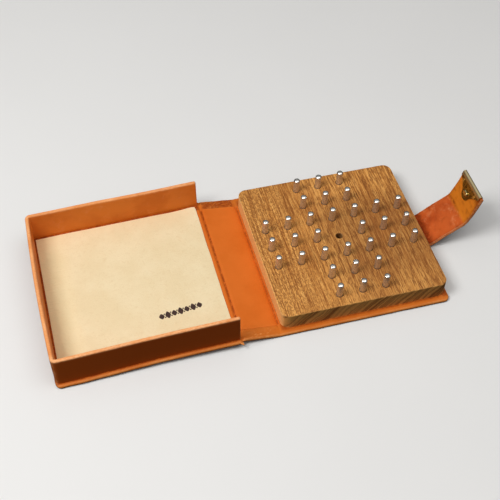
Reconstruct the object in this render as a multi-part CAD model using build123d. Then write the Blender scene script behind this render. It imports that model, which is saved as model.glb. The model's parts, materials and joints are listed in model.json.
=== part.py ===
from build123d import *
from math import asin, cos, degrees, radians, sin
import os

# Travel peg-solitaire set in a leather book-style case, lying open on a table.
# Left to right: lid panel with its three-sided tray, spine panel, base panel with the
# drilled wooden board and its steel pegs, and the fastening tab with its brass clasp.
# The base lies flat. The hinge leather is stiff, so the spine rises a little from the
# base, and the lid slopes from there down to its left edge, which rests on the table.
# Millimetres. X runs from the lid to the tab, Y away, Z up from the table. The origin
# is on the base panel's underside, straight below the centre hole of the board.
# Spine and lid are drawn lying flat in line with the base, then laid as they rest.

# ---------------------------------------------------------------- driving dimensions
PANEL_T = 2.6                # whole thickness of a covered panel
COVER_T = 0.8                # outer cover leather
TOP_T = 0.7                  # turned-in leather and lining on the inside
PANEL_HALF_Y = 57.8          # half of the base panel's and spine's depth
LID_HALF_Y = 59.3            # half of the lid panel's depth
BASE_RIGHT = 55.0            # right edge of the base panel
LID_LEFT = -192.0            # left edge of the lid panel, drawn flat
LID_FALL = 1.67              # slope of the open lid, degrees
TURN_IN = 7.0                # how far the cover leather is turned in over an edge
PANEL_CORNER_R = 3.5         # rounded outer corners of base and lid panel

ROLL_R = 0.7                 # rounded leather roll that each case hinge turns on
ROLL_GAP = 0.05              # running clearance round a roll
HINGE_BASE_X = -55.9         # hinge line between base and spine
HINGE_LID_X = -79.6          # hinge line between spine and lid, drawn flat
RELIEF = 10.6                # slope of the spine's undercut edge beside the lid, degrees

BOARD_SIZE = 107.4           # wooden board, square
BOARD_T = 11.0
BOARD_CORNER_R = 5.5
BOARD_EDGE_R = 0.6
PITCH = 15.0                 # hole to hole
GRID = 7                     # holes along each arm of the cross
ARM = 3                      # holes across each arm
HOLE_R = 2.1
HOLE_DEPTH = 8.4
HOLE_MOUTH = 0.3             # small countersink at each hole

PEG_R = 2.0
PEG_PROUD = 10.0             # height of a seated peg above the board
PEG_DOME = 0.9               # height of its domed top
PEG_FOOT = 0.4               # chamfer on its foot

WALL_H = 21.0                # height of the tray walls above the lid panel
SIDE_IN_Y = 54.7             # inner face of the far and near walls
SIDE_T = 2.4
LEFT_IN_X = -189.4           # inner face of the left wall
LEFT_T = 2.1
WALL_END_X = -80.7           # hinge-side end of the far and near walls
WALL_SKIN = 0.6              # leather over a wall's board
CARD_T = 0.35
CARD_LEFT = -188.4
CARD_RIGHT = -82.6
CARD_HALF_Y = 53.2

TAB_W = 27.4
TAB_T = 1.8
TAB_SPLIT = 0.1              # height of the glue line above the strap's middle
TAB_X = 58.3                 # hinge line where the strap leaves the base
TAB_Z = 1.5
TAB_RISE = 34.5              # angle of the lower strap above the table, degrees
FOLD_RISE = 72.5             # angle of the strap's end above the table, degrees
TAB_L1 = 27.65               # from the tab's hinge to its fold
TAB_L2 = 23.5                # from the fold to the clasp's folded edge
TAB_GAP = 0.05
ROOT_DEPTH = 18.0            # how far the strap's root runs into the base panel
ROOT_PROUD_T = 0.9           # half thickness of the root outside the panel

CLASP_SHEET = 0.45           # brass sheet
CLASP_HALF_W = 12.6
CLASP_NECK = 2.2             # straight sides beside the folded edge
CLASP_WAIST_S = 8.6          # where the concave side meets the lobe
CLASP_WAIST_Y = 4.3
CLASP_LENGTH = 12.2          # from the fold's centre line to the lobe's end
RIVET_Y = 8.0
RIVET_S = 3.4
RIVET_R = 0.8
RIVET_HEAD_R = 1.15
RIVET_HEAD_H = 0.2
NIB_S = 7.4                  # catch nib, from the fold's centre line
NIB_L = 3.0
NIB_W = 5.0
NIB_H = 1.05

STRIKE_L = 13.0              # strike plate on the lid's outer face
STRIKE_W = 22.0
STRIKE_T = 0.4
SLOT_EXTRA = 0.5             # clearance round the nib in the slot
SLOT_DEPTH = 1.2
STRIKE_RIVET_Y = 8.4
STRIKE_RIVET_R = 0.9

# ---------------------------------------------------------------- worked-out values
ROLL_Z = PANEL_T - ROLL_R
CORE_Z0 = COVER_T
CORE_Z1 = PANEL_T - TOP_T
BOARD_TOP = PANEL_T + BOARD_T
HOLE_BOTTOM = BOARD_TOP - HOLE_DEPTH
SOCKET_R = ROLL_R + ROLL_GAP
BASE_LEFT = HINGE_BASE_X + SOCKET_R
LID_RIGHT = HINGE_LID_X - SOCKET_R
LEFT_OUT_X = LEFT_IN_X - LEFT_T
SIDE_OUT_Y = SIDE_IN_Y + SIDE_T
WALL_TOP = PANEL_T + WALL_H
TAB_HALF_T = TAB_T / 2
FOLD_ARC_R = TAB_HALF_T + CLASP_SHEET
FOLD_CENTRE = TAB_L2 - FOLD_ARC_R
NIB_U = FOLD_CENTRE - NIB_S
# the nib's place on the closed lid, folded back to where the lid lies open
STRIKE_X = HINGE_LID_X + HINGE_BASE_X - (TAB_X - NIB_U)
# the open lid's left edge touches the table, which gives its hinge line's rise
HINGE_RISE = (HINGE_LID_X - LID_LEFT) * sin(radians(LID_FALL)) - ROLL_Z * (1 - cos(radians(LID_FALL)))
SPINE_LENGTH = HINGE_BASE_X - HINGE_LID_X
SPINE_RISE = degrees(asin(HINGE_RISE / SPINE_LENGTH))
LID_AXIS_X = HINGE_BASE_X - SPINE_LENGTH * cos(radians(SPINE_RISE))
LID_AXIS_Z = ROLL_Z + HINGE_RISE

PARTS = {}


def block(x0, x1, y0, y1, z0, z1):
    """A box from its two corners."""
    centre = Pos((x0 + x1) / 2, (y0 + y1) / 2, (z0 + z1) / 2)
    return centre * Box(x1 - x0, y1 - y0, z1 - z0)


def along_y(x, z, radius, half_length):
    """A round bar along Y."""
    return Pos(x, 0, z) * Rot(90, 0, 0) * Cylinder(radius, 2 * half_length)


def upright_edges(solid, side_x):
    """The upright edges of a solid that stand at one X."""
    edges = solid.edges().filter_by(Axis.Z)
    return [e for e in edges if abs(e.center().X - side_x) < 1e-4]


def panel(x0, x1, half_y, round_x):
    """A covered panel's outside, with two of its corners rounded."""
    outside = block(x0, x1, -half_y, half_y, 0, PANEL_T)
    return fillet(upright_edges(outside, round_x), PANEL_CORNER_R)


def panel_core(x0, x1, half_y, round_x):
    """The stiff board inside a panel, one cover thickness in from each edge."""
    core_half_y = half_y - COVER_T
    core = block(x0, x1, -core_half_y, core_half_y, CORE_Z0, CORE_Z1)
    return fillet(upright_edges(core, round_x), PANEL_CORNER_R - COVER_T)


def lining_window(x0, x1, half_y):
    """The part of a panel's inside that the turned-in leather leaves free."""
    return block(x0, x1, TURN_IN - half_y, half_y - TURN_IN, CORE_Z1, PANEL_T)


def spine_laid(solid):
    """Turns a spine piece up about the base hinge, as it rests with the case open."""
    turned = Rot(0, SPINE_RISE, 0) * Pos(-HINGE_BASE_X, 0, -ROLL_Z) * solid
    return Pos(HINGE_BASE_X, 0, ROLL_Z) * turned


def lid_laid(solid):
    """Hangs a lid piece on the raised hinge line, its left edge down on the table."""
    turned = Rot(0, -LID_FALL, 0) * Pos(-HINGE_LID_X, 0, -ROLL_Z) * solid
    return Pos(LID_AXIS_X, 0, LID_AXIS_Z) * turned


# ---------------------------------------------------------------- base panel
base_core = panel_core(BASE_LEFT + COVER_T, BASE_RIGHT - COVER_T, PANEL_HALF_Y, BASE_RIGHT - COVER_T)
root_inner = block(BASE_RIGHT - ROOT_DEPTH, BASE_RIGHT - COVER_T,
                   -TAB_W / 2, TAB_W / 2, CORE_Z0, CORE_Z1)
root_outer = block(BASE_RIGHT - COVER_T, TAB_X - TAB_HALF_T - TAB_GAP,
                   -TAB_W / 2, TAB_W / 2, TAB_Z - ROOT_PROUD_T, TAB_Z + ROOT_PROUD_T)
base_window = lining_window(BASE_LEFT + TURN_IN, BASE_RIGHT - TURN_IN, PANEL_HALF_Y)

# below the roll the cover leather runs on under it, up to the hinge line
base_socket = block(HINGE_BASE_X, BASE_LEFT, -PANEL_HALF_Y, PANEL_HALF_Y, 0, ROLL_Z)
base_outside = panel(BASE_LEFT, BASE_RIGHT, PANEL_HALF_Y, BASE_RIGHT) + base_socket
base_outside -= along_y(HINGE_BASE_X, ROLL_Z, SOCKET_R, PANEL_HALF_Y + 1)

PARTS["base_board"] = base_core - root_inner
PARTS["base_leather"] = base_outside - base_core - base_window - root_outer
PARTS["base_lining"] = base_window
PARTS["tab_root"] = root_inner + root_outer

# ---------------------------------------------------------------- wooden board and pegs
places = [(col, row) for row in range(GRID) for col in range(GRID)
          if abs(col - GRID // 2) <= ARM // 2 or abs(row - GRID // 2) <= ARM // 2]
centre_place = (GRID // 2, GRID // 2)


def place_xy(col, row):
    """The hole at a column, from the left, and a row, from the far side."""
    return (col - GRID // 2) * PITCH, (GRID // 2 - row) * PITCH


half = BOARD_SIZE / 2
peg_board = block(-half, half, -half, half, PANEL_T, BOARD_TOP)
peg_board = fillet(peg_board.edges().filter_by(Axis.Z), BOARD_CORNER_R)
peg_board = fillet(peg_board.faces().sort_by(Axis.Z)[-1].edges(), BOARD_EDGE_R)
hole_profile = make_face(Polyline(
    (0, 0, HOLE_BOTTOM),
    (HOLE_R, 0, HOLE_BOTTOM),
    (HOLE_R, 0, BOARD_TOP - HOLE_MOUTH),
    (HOLE_R + HOLE_MOUTH, 0, BOARD_TOP),
    (HOLE_R + HOLE_MOUTH, 0, BOARD_TOP + 1),
    (0, 0, BOARD_TOP + 1),
    close=True,
))
hole = revolve(hole_profile, Axis.Z)
for col, row in places:
    peg_board -= Pos(*place_xy(col, row), 0) * hole
PARTS["peg_board"] = peg_board

peg_top = BOARD_TOP + PEG_PROUD
dome_radius = (PEG_R ** 2 + PEG_DOME ** 2) / (2 * PEG_DOME)
dome_mid_x = PEG_R / 2
dome_mid_z = peg_top - dome_radius + (dome_radius ** 2 - dome_mid_x ** 2) ** 0.5
peg_sides = Polyline(
    (0, 0, peg_top),
    (0, 0, HOLE_BOTTOM),
    (PEG_R - PEG_FOOT, 0, HOLE_BOTTOM),
    (PEG_R, 0, HOLE_BOTTOM + PEG_FOOT),
    (PEG_R, 0, peg_top - PEG_DOME),
)
peg_dome = ThreePointArc(
    (PEG_R, 0, peg_top - PEG_DOME),
    (dome_mid_x, 0, dome_mid_z),
    (0, 0, peg_top),
)
peg = revolve(make_face(peg_sides + peg_dome), Axis.Z)
for col, row in places:
    if (col, row) != centre_place:
        PARTS[f"peg_r{row + 1}c{col + 1}"] = Pos(*place_xy(col, row), 0) * peg

# ---------------------------------------------------------------- spine
spine_left = HINGE_LID_X + ROLL_GAP
spine_right = HINGE_BASE_X - ROLL_GAP
spine_core_left = HINGE_LID_X + 1.8
spine_core_right = HINGE_BASE_X - 1.8
spine_core = block(spine_core_left, spine_core_right,
                   -PANEL_HALF_Y + COVER_T, PANEL_HALF_Y - COVER_T, CORE_Z0, CORE_Z1)
# the lining reaches over both grooves, and the cover leather is turned in at both ends
spine_lining = block(HINGE_LID_X + ROLL_R, HINGE_BASE_X - ROLL_R,
                     -PANEL_HALF_Y + TURN_IN, PANEL_HALF_Y - TURN_IN, CORE_Z1, PANEL_T)
spine_cover = block(spine_left, spine_right, -PANEL_HALF_Y, PANEL_HALF_Y, 0, PANEL_T)
# below the roll the lid-side edge slopes back, since the open lid turns in under it
undercut = block(-2 * PANEL_T, ROLL_GAP, -PANEL_HALF_Y, PANEL_HALF_Y, -2 * PANEL_T, 0)
spine_cover -= Pos(HINGE_LID_X, 0, ROLL_Z) * Rot(0, -RELIEF, 0) * undercut
# each end is a round roll of folded leather that turns in the neighbouring panel's socket
for hinge_x in (HINGE_LID_X, HINGE_BASE_X):
    spine_cover += along_y(hinge_x, ROLL_Z, ROLL_R, PANEL_HALF_Y)
PARTS["spine_board"] = spine_laid(spine_core)
PARTS["spine_lining"] = spine_laid(spine_lining)
PARTS["spine_leather"] = spine_laid(spine_cover - spine_core - spine_lining)

# ---------------------------------------------------------------- lid panel
lid_core = panel_core(LID_LEFT + COVER_T, LID_RIGHT - COVER_T, LID_HALF_Y, LID_LEFT + COVER_T)
lid_window = lining_window(LID_LEFT + TURN_IN, LID_RIGHT - TURN_IN, LID_HALF_Y)
lid_socket = block(LID_RIGHT, HINGE_LID_X, -LID_HALF_Y, LID_HALF_Y, 0, ROLL_Z)
lid_outside = panel(LID_LEFT, LID_RIGHT, LID_HALF_Y, LID_LEFT) + lid_socket
lid_outside -= along_y(HINGE_LID_X, ROLL_Z, SOCKET_R, LID_HALF_Y + 1)

strike_recess = block(STRIKE_X - STRIKE_L / 2, STRIKE_X + STRIKE_L / 2,
                      -STRIKE_W / 2, STRIKE_W / 2, 0, STRIKE_T)
slot_half_x = NIB_L / 2 + SLOT_EXTRA
slot_half_y = NIB_W / 2 + SLOT_EXTRA
nib_slot = block(STRIKE_X - slot_half_x, STRIKE_X + slot_half_x,
                 -slot_half_y, slot_half_y, 0, SLOT_DEPTH)
strike_shanks = [Pos(STRIKE_X, y, CORE_Z1 / 2) * Cylinder(STRIKE_RIVET_R, CORE_Z1)
                 for y in (-STRIKE_RIVET_Y, STRIKE_RIVET_Y)]
strike_rivets = strike_shanks[0] + strike_shanks[1]

lid_cover = lid_outside - lid_core - lid_window - strike_recess - nib_slot - strike_rivets
card = block(CARD_LEFT, CARD_RIGHT, -CARD_HALF_Y, CARD_HALF_Y, PANEL_T, PANEL_T + CARD_T)

PARTS["lid_board"] = lid_laid(lid_core - nib_slot - strike_rivets)
PARTS["lid_leather"] = lid_laid(lid_cover)
PARTS["lid_lining"] = lid_laid(lid_window)
PARTS["strike_plate"] = lid_laid(strike_recess - nib_slot - strike_rivets)
PARTS["strike_rivets"] = lid_laid(strike_rivets)
PARTS["lid_card"] = lid_laid(card)

# ---------------------------------------------------------------- tray walls
far_wall = block(LEFT_OUT_X, WALL_END_X, SIDE_IN_Y, SIDE_OUT_Y, PANEL_T, WALL_TOP)
far_core = block(LEFT_OUT_X + WALL_SKIN, WALL_END_X - WALL_SKIN,
                 SIDE_IN_Y + WALL_SKIN, SIDE_OUT_Y - WALL_SKIN,
                 PANEL_T, WALL_TOP - WALL_SKIN)
left_wall = block(LEFT_OUT_X, LEFT_IN_X, -SIDE_IN_Y, SIDE_IN_Y, PANEL_T, WALL_TOP)
left_core = block(LEFT_OUT_X + WALL_SKIN, LEFT_IN_X - WALL_SKIN,
                  -SIDE_IN_Y, SIDE_IN_Y, PANEL_T, WALL_TOP - WALL_SKIN)
far_skin = far_wall - far_core
PARTS["far_wall_board"] = lid_laid(far_core)
PARTS["far_wall_leather"] = lid_laid(far_skin)
PARTS["near_wall_board"] = lid_laid(mirror(far_core, Plane.XZ))
PARTS["near_wall_leather"] = lid_laid(mirror(far_skin, Plane.XZ))
PARTS["left_wall_board"] = lid_laid(left_core)
PARTS["left_wall_leather"] = lid_laid(left_wall - left_core)

# ---------------------------------------------------------------- fastening tab
# Modelled lying along +X from its hinge line, inner face up, then turned up into place.


def raised(solid):
    """Turns a lower-strap piece up from the table about the tab's hinge line."""
    return Pos(TAB_X, 0, TAB_Z) * Rot(0, -TAB_RISE, 0) * solid


def at_fold(solid):
    """Puts a piece drawn along +X from the fold into its place at the tab's end."""
    in_strap = Pos(TAB_L1, 0, 0) * Rot(0, TAB_RISE - FOLD_RISE, 0) * solid
    return raised(in_strap)


def layer(x0, x1, z0, z1):
    """One layer of the strap, at its full width."""
    return block(x0, x1, -TAB_W / 2, TAB_W / 2, z0, z1)


tab_outer = layer(0, TAB_L1, -TAB_HALF_T, TAB_SPLIT)
tab_outer += along_y(0, 0, TAB_HALF_T, TAB_W / 2)
tab_outer += along_y(TAB_L1, 0, TAB_HALF_T, TAB_W / 2)
tab_inner = layer(TAB_HALF_T, TAB_L1 - TAB_HALF_T, TAB_SPLIT, TAB_HALF_T)
PARTS["tab_outer_leather"] = raised(tab_outer)
PARTS["tab_inner_leather"] = raised(tab_inner)

rivet_shanks = [Pos(FOLD_CENTRE - RIVET_S, y, 0) * Cylinder(RIVET_R, 2 * FOLD_ARC_R)
                for y in (-RIVET_Y, RIVET_Y)]
head_z = FOLD_ARC_R + RIVET_HEAD_H / 2
rivet_heads = [Pos(FOLD_CENTRE - RIVET_S, y, z) * Cylinder(RIVET_HEAD_R, RIVET_HEAD_H)
               for y in (-RIVET_Y, RIVET_Y) for z in (-head_z, head_z)]
clasp_rivets = Part() + rivet_shanks + rivet_heads
shanks = rivet_shanks[0] + rivet_shanks[1]

tip_start = TAB_HALF_T + TAB_GAP
PARTS["tip_outer_leather"] = at_fold(layer(tip_start, FOLD_CENTRE, -TAB_HALF_T, TAB_SPLIT) - shanks)
PARTS["tip_inner_leather"] = at_fold(layer(tip_start, FOLD_CENTRE, TAB_SPLIT, TAB_HALF_T) - shanks)

# ---------------------------------------------------------------- brass clasp
# One sheet folded round the strap's end. Its outline has straight sides beside the fold,
# then a concave curve each side down to a rounded lobe that points back along the strap.
s_end = FOLD_CENTRE - CLASP_LENGTH
s_waist = FOLD_CENTRE - CLASP_WAIST_S
s_neck = FOLD_CENTRE - CLASP_NECK
side_mid = (FOLD_CENTRE - 0.62 * CLASP_WAIST_S, 7.4)


def clasp_side(sign):
    """The concave edge on one side of the clasp."""
    return ThreePointArc(
        (s_neck, sign * CLASP_HALF_W),
        (side_mid[0], sign * side_mid[1]),
        (s_waist, sign * CLASP_WAIST_Y),
    )


clasp_outline = make_face([
    Line((FOLD_CENTRE, -CLASP_HALF_W), (FOLD_CENTRE, CLASP_HALF_W)),
    Line((FOLD_CENTRE, CLASP_HALF_W), (s_neck, CLASP_HALF_W)),
    clasp_side(1),
    ThreePointArc((s_waist, CLASP_WAIST_Y), (s_end, 0), (s_waist, -CLASP_WAIST_Y)),
    clasp_side(-1),
    Line((s_neck, -CLASP_HALF_W), (FOLD_CENTRE, -CLASP_HALF_W)),
])
leaf = extrude(clasp_outline, amount=CLASP_SHEET, dir=(0, 0, 1))
inner_leaf = Pos(0, 0, TAB_HALF_T) * leaf
outer_leaf = Pos(0, 0, -FOLD_ARC_R) * leaf
fold_arc = along_y(FOLD_CENTRE, 0, FOLD_ARC_R, CLASP_HALF_W)
fold_arc -= along_y(FOLD_CENTRE, 0, TAB_HALF_T, CLASP_HALF_W)
fold_arc -= block(FOLD_CENTRE - 2 * FOLD_ARC_R, FOLD_CENTRE,
                  -CLASP_HALF_W, CLASP_HALF_W, -2 * FOLD_ARC_R, 2 * FOLD_ARC_R)
PARTS["clasp_plate"] = at_fold(inner_leaf + outer_leaf + fold_arc - shanks)
PARTS["clasp_rivets"] = at_fold(clasp_rivets)

nib = block(NIB_U - NIB_L / 2, NIB_U + NIB_L / 2, -NIB_W / 2, NIB_W / 2,
            FOLD_ARC_R, FOLD_ARC_R + NIB_H)
nib = fillet(nib.edges().filter_by(Axis.Z), NIB_L / 2 - 0.1)
nib = fillet(nib.faces().sort_by(Axis.Z)[-1].edges(), 0.6)
PARTS["clasp_nib"] = at_fold(nib)

# ---------------------------------------------------------------- files
os.makedirs("parts", exist_ok=True)
for name, solid in PARTS.items():
    export_step(solid, f"parts/{name}.step")
    print(name, round(solid.volume, 1), "mm3")
print(len(PARTS), "nodes")
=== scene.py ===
import itertools
import json
import math
import bpy
import numpy as np
from mathutils import Matrix, Vector, noise


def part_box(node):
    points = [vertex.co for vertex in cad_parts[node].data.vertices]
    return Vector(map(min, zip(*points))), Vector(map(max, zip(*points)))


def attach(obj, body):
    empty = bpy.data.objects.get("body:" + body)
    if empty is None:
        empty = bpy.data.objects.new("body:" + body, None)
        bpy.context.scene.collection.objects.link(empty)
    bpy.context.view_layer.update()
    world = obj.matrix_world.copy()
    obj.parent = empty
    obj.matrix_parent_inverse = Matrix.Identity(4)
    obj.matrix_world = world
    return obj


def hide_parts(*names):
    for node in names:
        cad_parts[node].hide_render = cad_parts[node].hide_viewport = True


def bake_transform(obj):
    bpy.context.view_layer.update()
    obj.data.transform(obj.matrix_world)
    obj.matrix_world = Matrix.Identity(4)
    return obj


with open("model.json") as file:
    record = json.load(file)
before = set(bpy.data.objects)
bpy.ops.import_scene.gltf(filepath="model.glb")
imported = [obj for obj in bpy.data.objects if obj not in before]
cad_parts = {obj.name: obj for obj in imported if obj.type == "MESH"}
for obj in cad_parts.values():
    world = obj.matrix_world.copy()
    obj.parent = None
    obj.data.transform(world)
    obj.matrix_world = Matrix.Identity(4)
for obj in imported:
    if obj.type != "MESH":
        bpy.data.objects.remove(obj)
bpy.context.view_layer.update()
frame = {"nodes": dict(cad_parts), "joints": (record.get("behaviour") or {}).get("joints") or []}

# Travel peg solitaire in a leather book-style case: the look of every piece, on the CAD frame.
# Lengths are in millimetres here and become metres when a mesh or lamp is made. Cover, lining
# and tray are worked out lying flat, as the case was glued up, and then laid as they rest.

MM = 0.001
joints = {j["name"]: j for j in frame["joints"]}
nodes = frame["nodes"]


# ---------------- places from the frame
def hinge_line(name):
    """X and Z of a hinge line along Y."""
    at = joints[name]["pos_m"]
    return at[0] / MM, at[2] / MM


HINGE_X, HINGE_Z = hinge_line("base_hinge")
LID_X, LID_Z = hinge_line("lid_hinge")
SPINE_LENGTH = math.hypot(HINGE_X - LID_X, LID_Z - HINGE_Z)
RISE = math.atan2(LID_Z - HINGE_Z, HINGE_X - LID_X)
FALL = math.radians(-joints["lid_hinge"]["range_deg"][0] - 90) - RISE
LID_FLAT_X = HINGE_X - SPINE_LENGTH
SPINE_MID = HINGE_X - SPINE_LENGTH / 2
BEND = 1.3  # how far the leather's bend reaches on each side of a hinge line


def clamp(value, low=0.0, high=1.0):
    return max(low, min(high, value))


def ease(value, start, end):
    """0 before start, 1 after end, smooth between them."""
    t = clamp((value - start) / (end - start))
    return t * t * (3 - 2 * t)


def bump(value, centre, width):
    """A smooth hump of height 1."""
    return math.exp(-((value - centre) / width) ** 2)


def wander(x, y=0.0, z=0.0):
    """Smooth noise from about -1 to 1."""
    return noise.noise(Vector((x, y, z)))


def in_spine(p):
    """A flat-drawn point moved with the raised spine."""
    dx, dz = p[0] - HINGE_X, p[2] - HINGE_Z
    x = HINGE_X + dx * math.cos(RISE) + dz * math.sin(RISE)
    return x, p[1], HINGE_Z - dx * math.sin(RISE) + dz * math.cos(RISE)


def in_lid(p):
    """A flat-drawn point moved with the sloping lid."""
    dx, dz = p[0] - LID_FLAT_X, p[2] - HINGE_Z
    x = LID_X + dx * math.cos(FALL) - dz * math.sin(FALL)
    return x, p[1], LID_Z + dx * math.sin(FALL) + dz * math.cos(FALL)


def out_of_lid(p):
    """The reverse of in_lid."""
    dx, dz = p[0] - LID_X, p[2] - LID_Z
    x = LID_FLAT_X + dx * math.cos(FALL) + dz * math.sin(FALL)
    return x, p[1], HINGE_Z - dx * math.sin(FALL) + dz * math.cos(FALL)


def laid(p):
    """A flat-drawn point of the case where it rests, bent softly at both hinges."""
    to_spine = ease(-p[0], -HINGE_X - BEND, -HINGE_X + BEND)
    to_lid = ease(-p[0], -LID_FLAT_X - BEND, -LID_FLAT_X + BEND)
    spine, lid = in_spine(p), in_lid(p)
    out = []
    for a, b, c in zip(p, spine, lid):
        out.append(a + (b + (c - b) * to_lid - a) * to_spine)
    return tuple(out)


def flat_box(node):
    """A lid node's box as it lies before the lid is sloped: lowest and highest corner."""
    points = [out_of_lid([c / MM for c in v.co]) for v in nodes[node].data.vertices]
    return [min(c) for c in zip(*points)], [max(c) for c in zip(*points)]


def rest_box(node):
    low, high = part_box(node)
    return [c / MM for c in low], [c / MM for c in high]


lid_low, lid_high = flat_box("lid_leather")
base_high = rest_box("base_leather")[1]
board_low, board_high = rest_box("peg_board")
near_low, near_high = flat_box("near_wall_leather")
left_low, left_high = flat_box("left_wall_leather")
far_high = flat_box("far_wall_leather")[1]
card_low, card_high = flat_box("lid_card")
strike_low, strike_high = flat_box("strike_plate")
LID_LEFT, LID_HALF_Y = lid_low[0], lid_high[1]
BASE_RIGHT, BASE_HALF_Y = base_high[0], base_high[1]
PANEL_T = base_high[2]
WALL_TOP = near_high[2]
COVER_T, CORE_TOP = (corner[2] for corner in rest_box("base_board"))
PITCH = 15.0  # hole to hole on the wooden board


# ---------------- mesh making
def linked(name, data):
    """A new object in the scene."""
    made = bpy.data.objects.new(name, data)
    bpy.context.scene.collection.objects.link(made)
    return made


def new_piece(name, points, faces, material, attributes=None, sharp=40):
    """A mesh object from millimetre points, with float or vector attributes on its points."""
    mesh = bpy.data.meshes.new(name)
    mesh.from_pydata([[c * MM for c in p] for p in points], [], faces)
    for key, values in (attributes or {}).items():
        kind, field = ("FLOAT", "value") if np.isscalar(values[0]) else ("FLOAT_VECTOR", "vector")
        layer = mesh.attributes.new(key, kind, "POINT")
        layer.data.foreach_set(field, np.array(values, np.float32).ravel())
    mesh.validate()
    mesh.shade_smooth()
    mesh.set_sharp_from_angle(angle=math.radians(sharp))
    mesh.materials.append(material)
    return linked(name, mesh)


# the way out through each side of a cell, and that side's corners
CELL_SIDES = (
    ((0, 0, 1), ((0, 0, 1), (1, 0, 1), (1, 1, 1), (0, 1, 1))),
    ((0, 0, -1), ((0, 0, 0), (0, 1, 0), (1, 1, 0), (1, 0, 0))),
    ((-1, 0, 0), ((0, 0, 0), (0, 0, 1), (0, 1, 1), (0, 1, 0))),
    ((1, 0, 0), ((1, 0, 0), (1, 1, 0), (1, 1, 1), (1, 0, 1))),
    ((0, -1, 0), ((0, 0, 0), (1, 0, 0), (1, 0, 1), (0, 0, 1))),
    ((0, 1, 0), ((0, 1, 0), (0, 1, 1), (1, 1, 1), (1, 1, 0))),
)


def layered(name, us, vs, surface, levels, solid, place, material, marks=None, sharp=40):
    """Stacked layers over a grid. surface(u, v, k) gives a flat-drawn point of level k, and
    solid(u, v, k) says whether the cell round (u, v) holds material between levels k and k + 1.
    marks maps attribute names to functions of (u, v, flat-drawn point, k)."""
    points, flat, index, faces = [], [], {}, []
    marks = marks or {}
    marked = {key: [] for key in marks}
    place_of = {}

    def corner(i, j, k):
        if (i, j, k) not in index:
            p = surface(us[i], vs[j], k)
            at = place(p)
            key = tuple(round(c, 4) for c in at)
            if key not in place_of:
                place_of[key] = len(points)
                points.append(at)
                flat.append(tuple(p))
                for mark, find in marks.items():
                    marked[mark].append(find(us[i], vs[j], p, k))
            index[i, j, k] = place_of[key]
        return index[i, j, k]

    cells = list(itertools.product(range(len(us) - 1), range(len(vs) - 1), range(levels - 1)))
    filled = np.zeros((len(us) + 1, len(vs) + 1, levels + 1), bool)
    for i, j, k in cells:
        mid_u, mid_v = (us[i] + us[i + 1]) / 2, (vs[j] + vs[j + 1]) / 2
        filled[i + 1, j + 1, k + 1] = solid(mid_u, mid_v, k) if solid else True
    for i, j, k in cells:
        if not filled[i + 1, j + 1, k + 1]:
            continue
        for (di, dj, dk), side in CELL_SIDES:
            if filled[i + 1 + di, j + 1 + dj, k + 1 + dk]:
                continue
            loop = []
            for ci, cj, ck in side:
                n = corner(i + ci, j + cj, k + ck)
                if n not in loop:
                    loop.append(n)
            if len(loop) > 2:
                faces.append(loop)
    return new_piece(name, points, faces, material, {"flat": flat, **marked}, sharp)


def swept(rings, reverse=False, start=0):
    """Faces of a closed skin through rings of equal length, with both ends closed."""
    n = len(rings[0])
    faces = []
    for r in range(len(rings) - 1):
        for i in range(n):
            a, b = start + r * n + i, start + r * n + (i + 1) % n
            faces.append([a, b, b + n, a + n])
    faces.append([start + i for i in reversed(range(n))])
    last = start + (len(rings) - 1) * n
    faces.append([last + i for i in range(n)])
    return [f[::-1] for f in faces] if reverse else faces


def drop(d, radius):
    """How far a rounded edge has fallen at distance d in from the outline."""
    if d >= radius:
        return 0.0
    return radius - math.sqrt(max(0.0, radius ** 2 - (radius - d) ** 2))


def spaced(start, end, step):
    """Even stations from start to end, both included."""
    count = max(1, round(abs(end - start) / step))
    return [start + (end - start) * i / count for i in range(count + 1)]


def merged(*groups):
    """Sorted stations without near doubles."""
    out = []
    for value in sorted(v for g in groups for v in g):
        if not out or value - out[-1] > 0.02:
            out.append(value)
    return out


def stations(low, high, steps, middle):
    """Stations from low to high, at the given steps from both ends and middle apart between."""
    ends = [low + s for s in steps] + [high - s for s in steps]
    return merged(ends, spaced(low + steps[-1], high - steps[-1], middle))


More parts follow.
